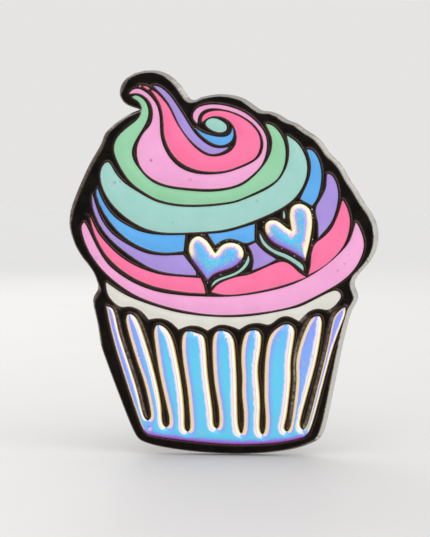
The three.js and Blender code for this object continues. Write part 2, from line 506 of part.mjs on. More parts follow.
// ---- posts and clutches -------------------------------------------------------------------------
// Post: a round foot set flush in the plate, a plain shank, a groove and a blunt point.
function post() {
  return turned(
    [
      [0, -FOOT_DEPTH],
      [FOOT_RADIUS, -FOOT_DEPTH],
      [FOOT_RADIUS, 0],
      [POST_RADIUS, 0],
      [POST_RADIUS, POST_LENGTH - 2.2],
      [POST_RADIUS * 0.72, POST_LENGTH - 2.0],
      [POST_RADIUS * 0.72, POST_LENGTH - 1.7],
      [POST_RADIUS, POST_LENGTH - 1.5],
      [POST_RADIUS * 0.55, POST_LENGTH - 0.5],
      [0, POST_LENGTH],
    ],
    16,
  );
}

// Base: a disc with a hole for the post and a rolled rim.
const base = () =>
  turned([
    [BASE_HOLE, 0],
    [BASE_RADIUS - 0.5, 0],
    [BASE_RADIUS - 0.12, 0.14],
    [BASE_RADIUS, 0.5],
    [BASE_RADIUS - 0.12, 0.86],
    [BASE_RADIUS - 0.4, 0.95],
    [BASE_RADIUS - 0.55, 0.7],
    [BASE_RADIUS - 0.65, BASE_THICKNESS],
    [BASE_HOLE, BASE_THICKNESS],
  ]);

// Grip: a split ring that springs onto the post.
function grip() {
  const gap = 0.24;
  const ring = new THREE.Shape();
  ring.absarc(0, 0, GRIP_OUTER, gap, 2 * Math.PI - gap, false);
  ring.absarc(0, 0, GRIP_INNER, 2 * Math.PI - gap, gap, true);
  const depth = 1.1;
  const g = new THREE.ExtrudeGeometry(ring, { depth, bevelEnabled: false, curveSegments: 12 });
  return g.rotateX(-Math.PI / 2).translate(0, BASE_THICKNESS + 0.08, 0);
}

// Dome: a cup over the grip, with a hole for the post and a slot each side for the wings.
function dome() {
  const foot = BASE_THICKNESS + 0.05;
  const inner = DOME_RADIUS - DOME_WALL;
  const shell = turned([
    [inner, foot],
    [DOME_RADIUS, foot],
    [DOME_RADIUS, 1.95],
    [DOME_RADIUS - 0.25, 2.4],
    [DOME_RADIUS - 0.8, DOME_TOP],
    [BASE_HOLE, DOME_TOP],
    [BASE_HOLE, DOME_TOP - DOME_WALL],
    [inner - 0.5, DOME_TOP - DOME_WALL],
    [inner, 2.05],
  ]);
  const slot = new THREE.BoxGeometry(2 * DOME_RADIUS + 1, 1.1, 3.7);
  return geometry(solid(shell).subtract(solid(slot.translate(0, 1.4, 0))));
}

// Wing: a bent strip with a narrow root that enters the dome's slot and a broad ear, turned up
// and then outwards. It rocks about the line x = 2.3, y = 1.35, where it passes the dome's wall.
function wing() {
  const middle = new THREE.CatmullRomCurve3(
    [[1.7, 1.35], [2.6, 1.35], [3.5, 1.6], [4.35, 2.5], [4.75, 3.8], [5.2, 5.0], [6.0, 5.7]].map(
      ([x, y]) => new THREE.Vector3(x, y, 0),
    ),
    false,
    "centripetal",
  );
  const line = middle.getPoints(12);
  const sides = line.map((p, i) => {
    const t = middle.getTangent(i / 12);
    const n = new THREE.Vector3(-t.y, t.x, 0).multiplyScalar(WING_THICKNESS / 2);
    return [p.clone().add(n), p.clone().sub(n)];
  });
  const edge = [...sides.map((s) => s[1]), ...sides.map((s) => s[0]).reverse()];
  const strip = new THREE.ExtrudeGeometry(
    new THREE.Shape(edge.map((p) => new THREE.Vector2(p.x, p.y))),
    { depth: 8, bevelEnabled: false },
  ).translate(0, 0, -4);
  // The ear's outline, seen along the post.
  const ear = smoothLoop(
    [
      [1.5, -1.55, 1], [2.9, -1.55], [3.4, -2.1], [4.2, -3.0], [5.3, -3.1], [6.1, -2.2],
      [6.35, 0], [6.1, 2.2], [5.3, 3.1], [4.2, 3.0], [3.4, 2.1], [2.9, 1.55], [1.5, 1.55, 1],
    ],
    0.02,
  );
  const cutter = upright(ear, -1, 8).rotateX(-Math.PI / 2);
  return geometry(solid(strip).intersect(solid(cutter)));
}

for (const [place, height] of Object.entries(POSTS)) {
  const onAxis = new THREE.Group();
  onAxis.position.set(0, 0, height);
  pin.add(onAxis);
  add(onAxis, `post_${place}`, post(), NICKEL);
  const clutch = new THREE.Group();
  clutch.position.y = GARMENT_GAP;
  onAxis.add(clutch);
  add(clutch, `${place}_clutch_base`, base(), NICKEL);
  add(clutch, `${place}_clutch_grip`, grip(), BRASS);
  add(clutch, `${place}_clutch_dome`, dome(), NICKEL);
  add(clutch, `${place}_clutch_wing_right`, wing(), NICKEL);
  const left = add(clutch, `${place}_clutch_wing_left`, wing(), NICKEL);
  left.rotation.y = Math.PI;
}

export default pin;
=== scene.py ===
"""Cupcake lapel pin: the surfaces, materials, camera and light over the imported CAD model.

Lengths in this file are millimetres until a mesh is made. x runs to the right and z up as the pin is
worn. A height is measured from the plate's back towards whoever looks at the artwork, so it is -y.
"""

import json
import math

import bmesh
import bpy
import numpy as np
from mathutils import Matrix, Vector
from mathutils.geometry import delaunay_2d_cdt
from mathutils.kdtree import KDTree


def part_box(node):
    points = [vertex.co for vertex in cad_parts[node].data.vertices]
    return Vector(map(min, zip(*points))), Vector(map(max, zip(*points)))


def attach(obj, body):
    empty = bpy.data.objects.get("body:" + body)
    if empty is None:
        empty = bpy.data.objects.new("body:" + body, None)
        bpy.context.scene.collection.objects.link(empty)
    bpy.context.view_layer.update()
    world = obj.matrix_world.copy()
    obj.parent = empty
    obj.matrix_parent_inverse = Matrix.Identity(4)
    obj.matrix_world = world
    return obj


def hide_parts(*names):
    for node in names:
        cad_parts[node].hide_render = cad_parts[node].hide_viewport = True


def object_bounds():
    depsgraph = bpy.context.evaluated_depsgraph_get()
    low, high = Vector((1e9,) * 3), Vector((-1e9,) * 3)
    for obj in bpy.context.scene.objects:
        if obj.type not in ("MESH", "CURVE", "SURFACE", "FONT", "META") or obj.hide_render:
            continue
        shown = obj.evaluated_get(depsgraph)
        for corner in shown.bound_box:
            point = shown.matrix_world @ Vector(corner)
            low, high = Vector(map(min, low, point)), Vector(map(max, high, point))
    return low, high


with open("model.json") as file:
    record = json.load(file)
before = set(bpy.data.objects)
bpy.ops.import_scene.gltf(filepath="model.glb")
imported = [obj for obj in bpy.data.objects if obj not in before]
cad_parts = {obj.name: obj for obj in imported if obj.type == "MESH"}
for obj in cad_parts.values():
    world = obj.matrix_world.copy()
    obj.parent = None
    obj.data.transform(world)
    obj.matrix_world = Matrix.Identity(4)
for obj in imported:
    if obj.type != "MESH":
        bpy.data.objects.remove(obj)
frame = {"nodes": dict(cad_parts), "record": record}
CAD_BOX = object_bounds()
MM = 0.001

# ---- driving dimensions ----------------------------------------------------------------------------
OUTLINE_STEP = 0.15  # spacing of the points along an outline
RINGS = (0.05, 0.11, 0.18, 0.26, 0.36, 0.48, 0.62, 0.78, 0.95)  # rows of points beside each outline
RING_SHARE = 0.93  # a row's point is left out if an outline is nearer than this share of its distance
GRID = 0.2  # spacing of the points further in
FOIL_GRID = 0.13
GRID_GAP = 0.4  # share of that spacing kept free beside the last row
LEAST_GAP = 0.045  # of the points in one square of this width only the first is kept
STRIP = 4000  # how many points are tested against an outline at a time
EVENING = 5  # rounds of averaging that take small kinks out of an outline
CORNER = 52  # an outline that turns left by more degrees than this at a point is sharp there
NOTCH = 105  # and so is one that turns right by more than this
SLIT = 180  # the same for the wrapper: the slits between its pleats all end round
RELAXING = 3  # rounds of averaging that even out the heights on metal and enamel
FOIL_RELAXING = 4

LINE_TOP = 1.8  # crest of the raised metal lines
RECESS_FLOOR = 1.0
INLAY_SINK = 0.03  # how far an inlay reaches below that floor
LIP_DROP = 0.1  # a line's rounded shoulder, where it meets an inlay
LIP_ROUND = 0.15
BEAD_OUTER = (0.2, 0.38)  # a line's crest ends at the first, its outer flank at the second
BEAD_DROP = 0.11  # how far the open border lies under the crest
# Degrees round from the right, and the bevel's width on the part of the rim that faces that way.
BEVEL_WIDTH = (
    (-180, 0.3), (-160, 0.18), (-90, 0.16), (-60, 0.34), (-25, 0.6), (10, 0.68), (45, 0.62),
    (90, 0.28), (120, 0.34), (150, 0.52), (172, 0.45), (180, 0.3),
)
BEVEL_DROP = 0.38  # how far the rim lies under the open border
BEVEL_BULGE = 0.35  # 0 is a flat bevel
BACK_ROUND = 0.12  # the back edge is rounded in two steps
BACK_STEP = 0.3  # the first step's share of that

ENAMEL_EDGE = 1.69
ENAMEL_CROWN = (0.12, 1.2)  # rise and the distance from the outline over which it rises
MENISCUS = (0.045, 0.08)
FOIL_EDGE = 1.68
FOIL_RISE = 0.46
FOIL_CROWN = 0.06
CROWN_WIDTH = 1.7
HEART_FLANK = 1.4  # width of the foil's rounded sides
# How far across the cup's foot a pleat stands, the width of its sides, and its share of the rise.
PLEATS = (
    (-9.9, 0.36, 0.36), (-9.1, 0.8, 0.8), (-6.0, 1.0, 1.0), (7.0, 1.0, 1.0), (11.0, 0.9, 0.9),
    (11.5, 0.3, 0.66),
)
LEFT_FLANK = ((7.0, 1.0), (11.0, 0.6))  # share of the width on sides that face left
PLEAT_FOOT = -20.0
# By what share the pleats left and right of the middle spread for each millimetre up from the foot.
FAN = (0.027, 0.0185)

# Painted highlight on the black metal, as shares: on the bevel, the rim's side, the lips beside
# inlays, the bead and the pleats' outer flanks.
BEVEL_HIGHLIGHT = 1.7  # strength of the painted highlight: 0 none, 1 the pale bare-metal colour in patches
SIDE_HIGHLIGHT = 0.6
LIP_HIGHLIGHT = 0.4
BEAD_HIGHLIGHT = 0.36
BEAD_CREST = (0.24, 0.07)  # how far from an inlay the bead's painted highlight lies, and over what width
FLANK_HIGHLIGHT = 0.9
GLINT_REACH = 0.38  # painted glints lie on the metal this far from the hearts

CUP_TOP = -5.0  # the cup's pleats are below this height
# The metal beside a pleat has a broad side with a painted highlight, from none at the first of these
# to all at the second.
FLANK_FROM = (7.0, 10.5)
FLANK_ROUND = 0.55
FLANK_DROP = 0.22


# ---- outlines --------------------------------------------------------------------------------------
def flat_loops(node, level):
    """Outlines of a CAD node's flat face at y = level, anticlockwise as seen from the front."""
    mesh = frame["nodes"][node].data
    corners = np.array([v.co for v in mesh.vertices]) / MM
    index = {}
    merged = [index.setdefault(tuple(c), len(index)) for c in np.round(corners, 4)]
    points = np.array(list(index))
    # A side that no other face runs back along is on the border.
    following = {}
    for face in mesh.polygons:
        if any(abs(corners[v][1] - level) > 1e-3 for v in face.vertices):
            continue
        ring = [merged[v] for v in face.vertices]
        for a, b in zip(ring, ring[1:] + ring[:1]):
            following.setdefault(a, set()).add(b)
    border = {
        a: b for a, ends in following.items() for b in ends if a not in following.get(b, ())
    }
    loops = []
    while border:
        first, b = border.popitem()
        loop = [first]
        while b != first:
            loop.append(b)
            b = border.pop(b)
        loops.append(points[loop[::-1]][:, [0, 2]])
    return sorted(loops, key=len, reverse=True)


def blended(a, b, start, end, t):
    """Where t lies on the straight run from a, at start, to b, at end."""
    return ((end - t) * a + (t - start) * b) / (end - start)


def smoothed(loop, notch):
    """A centripetal Catmull-Rom curve through the loop's points, broken where it turns sharply."""
    before = loop - np.roll(loop, 1, 0)
    after = np.roll(loop, -1, 0) - loop
    cross = before[:, 0] * after[:, 1] - before[:, 1] * after[:, 0]
    turn = np.degrees(np.arctan2(cross, (before * after).sum(1)))
    sharp = (turn > CORNER) | (turn < -notch)
    n = len(loop)
    pieces = []
    for i in range(n):
        p1, p2 = loop[i], loop[(i + 1) % n]
        p0 = 2 * p1 - p2 if sharp[i] else loop[i - 1]
        p3 = 2 * p2 - p1 if sharp[(i + 1) % n] else loop[(i + 2) % n]
        k = np.cumsum([0] + [math.dist(a, b) ** 0.5 for a, b in ((p0, p1), (p1, p2), (p2, p3))])
        count = max(1, round(math.dist(p1, p2) / OUTLINE_STEP))
        t = np.linspace(k[1], k[2], count, endpoint=False)[:, None]
        first = blended(p0, p1, k[0], k[1], t)
        middle = blended(p1, p2, k[1], k[2], t)
        last = blended(p2, p3, k[2], k[3], t)
        early = blended(first, middle, k[0], k[2], t)
        late = blended(middle, last, k[1], k[3], t)
        pieces.append(blended(early, late, k[1], k[2], t))
    held = np.concatenate([[s] + [False] * (len(piece) - 1) for s, piece in zip(sharp, pieces)])
    curve = np.concatenate(pieces)
    for _ in range(EVENING):
        middle = (np.roll(curve, 1, 0) + np.roll(curve, -1, 0)) / 2
        curve = np.where(held[:, None], curve, (curve + middle) / 2)
    return curve


def outward(loop):
    """The direction out of an anticlockwise loop at each of its points."""
    along = np.roll(loop, -1, 0) - np.roll(loop, 1, 0)
    along /= np.linalg.norm(along, axis=1)[:, None]
    return np.stack([along[:, 1], -along[:, 0]], 1)


class Outlines:
    """Closed outlines in one list of points, and how far a point is from the nearest of them."""

    def __init__(self, loops):
        self.at = np.concatenate(loops)
        self.loop = np.concatenate([np.full(len(points), i) for i, points in enumerate(loops)])
        starts = np.cumsum([0] + [len(points) for points in loops])
        rows = [start + np.arange(len(points)) for start, points in zip(starts, loops)]
        self.next = np.concatenate([np.roll(row, -1) for row in rows])
        self.last = np.concatenate([np.roll(row, 1) for row in rows])
        self.tree = KDTree(len(self.at))
        for i, (x, z) in enumerate(self.at):
            self.tree.insert((x, z, 0), i)
        self.tree.balance()

    def away(self, points):
        """The way to each point from the nearest place on an outline."""
        near = np.array([self.tree.find((x, z, 0))[1] for x, z in points])
        start = self.at[near]
        best = points - start
        for other in (self.next, self.last):
            along = self.at[other[near]] - start
            share = ((points - start) * along).sum(1) / (along**2).sum(1)
            way = points - (start + np.clip(share, 0, 1)[:, None] * along)
            closer = np.linalg.norm(way, axis=1) < np.linalg.norm(best, axis=1)
            best = np.where(closer[:, None], way, best)
        return best

    def distance(self, points):
        return np.linalg.norm(self.away(points), axis=1)


def inside(points, loop):
    """Which of the points lie in the loop, by counting its crossings to the right of each."""
    a, b = loop, np.roll(loop, -1, 0)
    rise = np.where(b[:, 1] == a[:, 1], 1e-9, b[:, 1] - a[:, 1])
    held = []
    for strip in np.array_split(points, max(1, len(points) // STRIP)):
        z = strip[:, 1, None]
        x = a[:, 0] + (z - a[:, 1]) * (b[:, 0] - a[:, 0]) / rise
        crossed = ((a[:, 1] > z) != (b[:, 1] > z)) & (strip[:, 0, None] < x)
        held.append(crossed.sum(1) % 2 == 1)
    return np.concatenate(held)


PIN_NODES = frame["record"]["behaviour"]["bodies"]["pin"]
POSTS = [n for n in PIN_NODES if n.startswith("post")]
INLAYS = [n for n in PIN_NODES if n != "plate" and n not in POSTS]
SLOTS = {s["node"]: s["material_slot"] for s in frame["record"]["subparts"]}

rim = smoothed(flat_loops("plate", 0.0)[0], NOTCH)
cells = {
    n: smoothed(flat_loops(n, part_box(n)[1].y / MM)[0], SLIT if n == "wrapper" else NOTCH)
    for n in INLAYS
}
rim_line = Outlines([rim])
cell_lines = Outlines(list(cells.values()))
wrapper_line = Outlines([cells["wrapper"]])
heart_lines = Outlines([cells["heart_left"], cells["heart_right"]])
all_lines = Outlines([rim, *cells.values()])


# ---- one triangulation of the whole face -----------------------------------------------------------
def rows_beside(loop, sides):
    """Points at each ring's distance from the loop, with the distance each should keep."""
    out = outward(loop)
    rows = [(loop + side * ring * out, ring) for ring in RINGS for side in sides]
    return np.concatenate([p for p, _ in rows]), np.repeat([r for _, r in rows], len(loop))


def triangular_grid(loop, step):
    """Evenly spaced points inside the loop, clear of the rows beside the outlines."""
    low, high = loop.min(0), loop.max(0)
    rows = np.arange(low[1], high[1], step * math.sqrt(0.75))
    grid = np.array([
        (x, z)
        for i, z in enumerate(rows)
        for x in np.arange(low[0] + step / 2 * (i % 2), high[0], step)
    ])
    grid = grid[inside(grid, loop)]
    return grid[all_lines.distance(grid) > RINGS[-1] + GRID_GAP * step]


def face_points():
    """Every free point of the face: rows beside the outlines, and a grid between them."""
    found = [rows_beside(rim, (-1,))] + [rows_beside(c, (-1, 1)) for c in cells.values()]
    beside = np.concatenate([p for p, _ in found])
    wanted = np.concatenate([d for _, d in found])
    beside = beside[all_lines.distance(beside) > RING_SHARE * wanted]
    foil_cells = [cells[name] for name in INLAYS if SLOTS[name] == "foil"]
    coarse = triangular_grid(rim, GRID)
    coarse = coarse[~np.any([inside(coarse, cell) for cell in foil_cells], axis=0)]
    fine = [triangular_grid(cell, FOIL_GRID) for cell in foil_cells]
    free = np.concatenate([beside, coarse, *fine])
    squares = np.round(free / LEAST_GAP).astype(int)
    _, first = np.unique(squares, axis=0, return_index=True)
    return free[np.sort(first)]


def triangulated():
    """Points and triangles of the whole face, with every outline as an edge."""
    points = np.concatenate([all_lines.at, face_points()])
    edges = [(i, int(j)) for i, j in enumerate(all_lines.next)]
    made = delaunay_2d_cdt([Vector(p) for p in points], edges, [], 1, 1e-7)
    return np.array([tuple(p) for p in made[0]]), np.array(made[2])


def sides_of(triangles):
    """The triangles' first sides, then their second and third ones."""
    return np.concatenate([triangles[:, [i, (i + 1) % 3]] for i in range(3)])


def parted(triangles):
    """The triangles of the plate's metal, and those of each inlay in turn."""
    lines = len(all_lines.at)
    owner = np.tile(np.arange(len(triangles)), 3)
    a, b = np.sort(sides_of(triangles), 1).T
    on_line = (b < lines) & ((all_lines.next[a % lines] == b) | (all_lines.last[a % lines] == b))
    order = np.lexsort((b, a))
    # Two triangles are neighbours across a shared side, unless the side lies on an outline.
    same = (a[order][1:] == a[order][:-1]) & (b[order][1:] == b[order][:-1])
    pair = np.flatnonzero(same & ~on_line[order][1:])
    neighbours = [[] for _ in triangles]
    for one, two in zip(owner[order][pair], owner[order][pair + 1]):
        neighbours[one].append(two)
        neighbours[two].append(one)
    label = np.full(len(triangles), -1)
    parts = {}
    for start in range(len(triangles)):
        if label[start] >= 0:
            continue
        label[start] = start
        stack, members = [start], []
        while stack:
            t = stack.pop()
            members.append(t)
            for other in neighbours[t]:
                if label[other] < 0:
                    label[other] = start
                    stack.append(other)
        # Only the plate touches more outlines than one.
        corners = np.unique(triangles[members])
        touched = np.unique(all_lines.loop[corners[corners < lines]])
        parts["plate" if len(touched) > 1 else INLAYS[touched[0] - 1]] = triangles[members]
    return parts


# ---- heights ---------------------------------------------------------------------------------------
def smoothstep(x, low, high):
    t = np.clip((x - low) / (high - low), 0, 1)
    return t * t * (3 - 2 * t)


def bevel_at(points):
    """How far each point is from the rim, and the width of the bevel beside it."""
    away = rim_line.away(points)
    towards = np.degrees(np.arctan2(-away[:, 1], -away[:, 0]))
    return np.linalg.norm(away, axis=1), np.interp(towards, *zip(*BEVEL_WIDTH))


def outer_flank(points):
    """1 on the sides of the cup's outermost pleats that face away from its middle, else 0."""
    away = wrapper_line.away(points)
    d = np.linalg.norm(away, axis=1)
    leaving = -np.sign(points[:, 0]) * away[:, 0] / np.maximum(d, 1e-6)
    outer = smoothstep(np.abs(points[:, 0]), *FLANK_FROM)
    near = (points[:, 1] < CUP_TOP) * (d < 2 * FLANK_ROUND)
    return outer * smoothstep(leaving, 0.5, 0.8) * near


def metal_height(points):
    """Rounded, slightly raised lines beside every inlay, a lower open border and a bevelled edge."""
    d = cell_lines.distance(points)
    edge, width = bevel_at(points)
    flank = outer_flank(points)
    lip_round = LIP_ROUND + (FLANK_ROUND - LIP_ROUND) * flank
    lip_drop = LIP_DROP + (FLANK_DROP - LIP_DROP) * flank * np.clip(d / LIP_ROUND, 0, 1)
    height = LINE_TOP - lip_drop * (1 - np.clip(d / lip_round, 0, 1)) ** 2
    height -= BEAD_DROP * smoothstep(d, *BEAD_OUTER)
    t = np.clip(edge / width, 0, 1)
    return height - BEVEL_DROP * (1 - t) * (1 - BEVEL_BULGE * t)


def enamel_height(points):
    """A low crown, with the fill drawn up where it meets the metal."""
    d = all_lines.distance(points)
    rise, width = ENAMEL_CROWN
    lift, reach = MENISCUS
    crown = rise * (1 - (1 - np.clip(d / width, 0, 1)) ** 2)
    return ENAMEL_EDGE - lift + crown + lift * np.exp(-d / reach)


def pleat_sides(points):
    """The width and rise of the sides of the pleat that each point of the wrapper is on."""
    fan = np.where(points[:, 0] < 0, *FAN)
    across = points[:, 0] / (1 + fan * (points[:, 1] - PLEAT_FOOT))
    stand, widths, shares = zip(*PLEATS)
    flank = np.interp(across, stand, widths)
    rise = FOIL_RISE * np.interp(across, stand, shares)
    away = wrapper_line.away(points)
    leftward = away[:, 0] / np.maximum(np.linalg.norm(away, axis=1), 1e-6)
    left = smoothstep(leftward, 0.3, 0.7)
    return flank * (1 - left * (1 - np.interp(across, *zip(*LEFT_FLANK)))), rise


def foil_height(points, name):
    """A tall crown whose sides are a quarter of an ellipse."""
    flank, rise = HEART_FLANK, FOIL_RISE
    if name == "wrapper":
        flank, rise = pleat_sides(points)
    d = all_lines.distance(points)
    u = 1 - np.clip(d / flank, 0, 1)
    crown = 1 - (1 - np.clip(d / CROWN_WIDTH, 0, 1)) ** 2
    return FOIL_EDGE + rise * np.sqrt(1 - u**2) + FOIL_CROWN * crown


def face_height(points, name):
    """The height of a piece of the face at each point."""
    if name == "plate":
        return metal_height(points)
    if SLOTS[name] == "foil":
        return foil_height(points, name)
    return enamel_height(points)


def highlight_share(points):
    """How strong the painted highlight on the black metal is at each point."""
    edge, width = bevel_at(points)
    bevel = 1 - smoothstep(edge, 0.8 * width, width + 0.06)
    d = cell_lines.distance(points)
    lip = 1 - smoothstep(d, 0.3 * LIP_ROUND, 1.2 * LIP_ROUND)
    middle, width = BEAD_CREST
    bead = np.exp(-(((d - middle) / width) ** 2))
    flank = outer_flank(points) * (1 - smoothstep(d, 0.7 * FLANK_ROUND, FLANK_ROUND))
    # Painted highlight on the bevel, the lips, the bead and the pleats' outer flanks.
    wear_and_highlight = (BEVEL_HIGHLIGHT * bevel, LIP_HIGHLIGHT * lip, BEAD_HIGHLIGHT * bead, FLANK_HIGHLIGHT * flank)
    return np.maximum.reduce(wear_and_highlight)


def relaxed(heights, triangles, held, rounds):
    """Heights averaged with their neighbours', away from the held points."""
    sides = sides_of(triangles)
    sides = np.concatenate([sides, sides[:, ::-1]])
    count = np.bincount(sides[:, 0], minlength=len(heights))
    for _ in range(rounds):
        mean = np.bincount(sides[:, 0], heights[sides[:, 1]], len(heights)) / count
        heights = np.where(held, heights, 0.5 * (heights + mean))
    return heights


# ---- meshes ----------------------------------------------------------------------------------------
FACE_CORNER = 50  # degrees between faces, above which an edge of the plate or an inlay is sharp


def make_object(name, points, faces, material):
    """A mesh object from points in millimetres."""
    mesh = bpy.data.meshes.new(name)
    mesh.from_pydata((np.asarray(points) * MM).tolist(), [], [list(map(int, f)) for f in faces])
    mesh.shade_smooth()
    mesh.set_sharp_from_angle(angle=math.radians(FACE_CORNER))
    mesh.materials.append(material)
    obj = bpy.data.objects.new(name, mesh)
    bpy.context.scene.collection.objects.link(obj)
    return obj


def stand_in(obj, node):
    """obj, already given its finish, replaces a CAD node: it rides on the same body, and the node is
    hidden.
    """
    bodies = frame["record"]["behaviour"]["bodies"]
    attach(obj, next(body for body, nodes in bodies.items() if node in nodes))
    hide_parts(node)
    return obj


class Solid:
    """A closed surface that grows from a face's triangles by walls and caps."""

    def __init__(self, points, triangles, heights):
        used, local = np.unique(triangles, return_inverse=True)
        self.points = np.column_stack([points[used, 0], -heights, points[used, 1]])
        self.faces = local.reshape(-1, 3).tolist()
        self.index = {int(u): i for i, u in enumerate(used)}

    def wall(self, ring, outline, y):
        """Joins a ring of points to the same outline at another depth; returns the new ring."""
        fresh = np.arange(len(outline)) + len(self.points)
        ring_xz = np.column_stack([outline[:, 0], np.full(len(outline), y), outline[:, 1]])
        self.points = np.concatenate([self.points, ring_xz])
        n = len(outline)
        for i in range(n):
            j = (i + 1) % n
            self.faces.append([ring[j], ring[i], fresh[i], fresh[j]])
        return list(fresh)

    def cap(self, ring):
        self.faces.append(list(ring)[::-1])


def outline_rings():
    """For the plate and each inlay, the numbers of its outline's points."""
    rings = {}
    start = 0
    for name, outline in [("plate", rim), *cells.items()]:
        rings[name] = list(range(start, start + len(outline)))
        start += len(outline)
    return rings


def close_plate(solid, rings):
    """Adds the rim's side, the back with its rounded edge, and the recesses under the inlays."""
    ring = [solid.index[i] for i in rings["plate"]]
    step = BACK_STEP * BACK_ROUND
    ring = solid.wall(ring, rim, -BACK_ROUND)
    ring = solid.wall(ring, rim - step * outward(rim), -step)
    ring = solid.wall(ring, rim - BACK_ROUND * outward(rim), 0.0)
    solid.cap(ring)
    for name, outline in cells.items():
        ring = [solid.index[i] for i in rings[name]][::-1]
        solid.cap(solid.wall(ring, outline[::-1], -RECESS_FLOOR))


def close_inlay(solid, name, rings):
    """Adds the inlay's side and underside."""
    ring = [solid.index[i] for i in rings[name]]
    solid.cap(solid.wall(ring, cells[name], -RECESS_FLOOR - INLAY_SINK))


def point_values(obj, name, values):
    """Gives the mesh a number for each of its first points, and 0 for the rest."""
    filled = np.zeros(len(obj.data.vertices))
    filled[: len(values)] = values
    obj.data.attributes.new(name, "FLOAT", "POINT").data.foreach_set("value", filled)


def build_plate(points, triangles, heights, rings, material):
    solid = Solid(points, triangles, heights)
    close_plate(solid, rings)
    obj = make_object("struck_plate", solid.points, solid.faces, material)
    face = points[np.unique(triangles)]
    # Painted highlight shares for the face and for the rim's side.
    side = np.full(3 * len(rim), SIDE_HIGHLIGHT)
    point_values(obj, "wear_and_highlight", np.concatenate([highlight_share(face), side]))
    # Where the painted glints may lie.
    point_values(obj, "painted_glints", heart_lines.distance(face) < GLINT_REACH)
    stand_in(obj, "plate")


def build_inlay(name, points, triangles, heights, rings, material):
    solid = Solid(points, triangles, heights)
    close_inlay(solid, name, rings)
    stand_in(make_object(name + "_fill", solid.points, solid.faces, material), name)


def build_face(materials):
    """The struck plate and its inlays."""
    points, triangles = triangulated()
    on_line = np.arange(len(points)) < len(all_lines.at)
    rings = outline_rings()
    for name, part in parted(triangles).items():
        used = np.unique(part)
        rounds = FOIL_RELAXING if SLOTS[name] == "foil" else RELAXING
        heights = face_height(points[used], name)
        heights = relaxed(heights, np.searchsorted(used, part), on_line[used], rounds)
        if name == "plate":
            build_plate(points, part, heights, rings, materials["plate"])
        else:
            slot = "heart_foil" if name in ("heart_left", "heart_right") else SLOTS[name]
            build_inlay(name, points, part, heights, rings, materials[slot])


# ---- materials -------------------------------------------------------------------------------------
def linear(red, green, blue):
    """An 8-bit display colour as the shader wants it."""
    channels = [c / 255 for c in (red, green, blue)]
    return [c / 12.92 if c <= 0.04045 else ((c + 0.055) / 1.055) ** 2.4 for c in channels] + [1]


class Nodes:
    """Adds nodes to a tree by short calls. A socket is set to a number or linked."""

    def __init__(self, tree):
        self.tree = tree

    def put(self, node, socket, value):
        socket = node.inputs[socket]
        if isinstance(value, bpy.types.NodeSocket):
            self.tree.links.new(value, socket)
        else:
            socket.default_value = value

    def node(self, kind, sockets=None, **settings):
        """A new node with these settings, its sockets set or linked."""
        made = self.tree.nodes.new("ShaderNode" + kind)
        for key, value in settings.items():
            setattr(made, key, value)
        for socket, value in (sockets or {}).items():
            self.put(made, socket, value)
        return made

    def math(self, operation, *values):
        return self.node("Math", dict(enumerate(values)), operation=operation).outputs[0]

    def span(self, value, low, high, to_low=0.0, to_high=1.0, smooth=False):
        """value from low..high to to_low..to_high, clamped."""
        sockets = {"Value": value, 1: low, 2: high, 3: to_low, 4: to_high}
        kind = "SMOOTHSTEP" if smooth else "LINEAR"
        return self.node("MapRange", sockets, interpolation_type=kind).outputs["Result"]

    def mix(self, share, a, b):
        made = self.node("Mix", data_type="RGBA")
        for socket, value in ((0, share), (6, a), (7, b)):
            self.put(made, socket, value)
        return made.outputs[2]

    def ramp(self, value, stops):
        made = self.node("ValToRGB", {"Fac": value})
        elements = made.color_ramp.elements
        while len(elements) < len(stops):
            elements.new(0.5)
        for element, (position, colour) in zip(elements, stops):
            element.position = position
            element.color = colour
        return made.outputs["Color"]


class Shader(Nodes):
    """A material on the Principled shader, with textures measured in millimetres."""

    def __init__(self, name, **surface):
        self.material = bpy.data.materials.new(name)
        self.material.use_nodes = True
        super().__init__(self.material.node_tree)
        self.bsdf = self.tree.nodes["Principled BSDF"]
        self.place = self.node("TexCoord").outputs
        self.facing = self.node("SeparateXYZ", {0: self.place["Normal"]}).outputs
        self.spot = self.node("SeparateXYZ", {0: self.place["Object"]}).outputs
        self.finish(**surface)

    def attribute(self, name):
        return self.node("Attribute", attribute_name=name).outputs["Fac"]

    def noise(self, size, detail=2.0, roughness=0.5, stretch=None):
        """Noise whose features are about `size` millimetres."""
        place = self.place["Object"]
        if stretch:
            place = self.node("Mapping", {"Vector": place, "Scale": stretch}).outputs[0]
        sockets = {"Vector": place, "Scale": 1 / (size * MM), "Detail": detail}
        made = self.node("TexNoise", {**sockets, "Roughness": roughness})
        return made.outputs["Fac"]

    def specks(self, size, share, reach, strength):
        """Round specks on the face, in a share of cells of about `size` millimetres."""
        flat = self.node("CombineXYZ", {0: self.spot["X"], 1: self.spot["Z"]}).outputs[0]
        cell = self.node(
            "TexVoronoi", {"Vector": flat, "Scale": 1 / (size * MM)}, voronoi_dimensions="2D"
        )
        pick = self.node("SeparateColor", {0: cell.outputs["Color"]}).outputs[0]
        near = self.span(cell.outputs["Distance"], 0.4 * reach, reach, strength, 0.0)
        return self.math("MULTIPLY", near, self.math("LESS_THAN", pick, share))

    def bump(self, height, depth, strength=1.0, under=None):
        """A bump `depth` millimetres deep."""
        sockets = {"Height": height, "Distance": depth * MM, "Strength": strength}
        if under:
            sockets["Normal"] = under
        return self.node("Bump", sockets).outputs[0]

    def finish(self, **surface):
        for key, value in surface.items():
            self.put(self.bsdf, key.replace("_", " ").title(), value)
        return self.material


